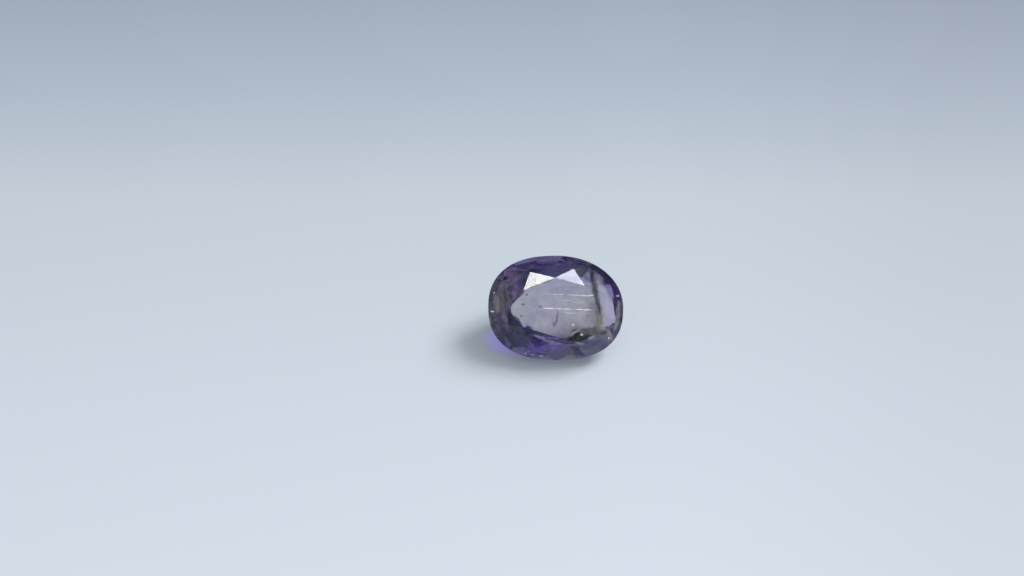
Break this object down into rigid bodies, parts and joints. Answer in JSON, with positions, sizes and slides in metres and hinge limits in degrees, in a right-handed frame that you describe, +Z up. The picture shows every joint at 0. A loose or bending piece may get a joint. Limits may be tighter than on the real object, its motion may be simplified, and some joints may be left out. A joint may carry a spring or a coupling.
{
  "type": "faceted oval iolite gemstone",
  "caption": "Cut and polished oval gemstone of clear violet-blue iolite with a brilliant crown, thin girdle and keeled pavilion, lying loose on one pavilion facet.",
  "frame": {"origin": "on the ground, under the middle of the stone's bounding box", "axes": "+X along the length of the oval, +Y away from the side that the table is turned to, +Z up. The table faces -Y and up."},
  "size_m": [0.009, 0.0058, 0.0051],
  "materials": {
    "iolite": "polished"
  },
  "bodies": {
    "root": {"cut_stone": "iolite"}
  },
  "joints": []
}
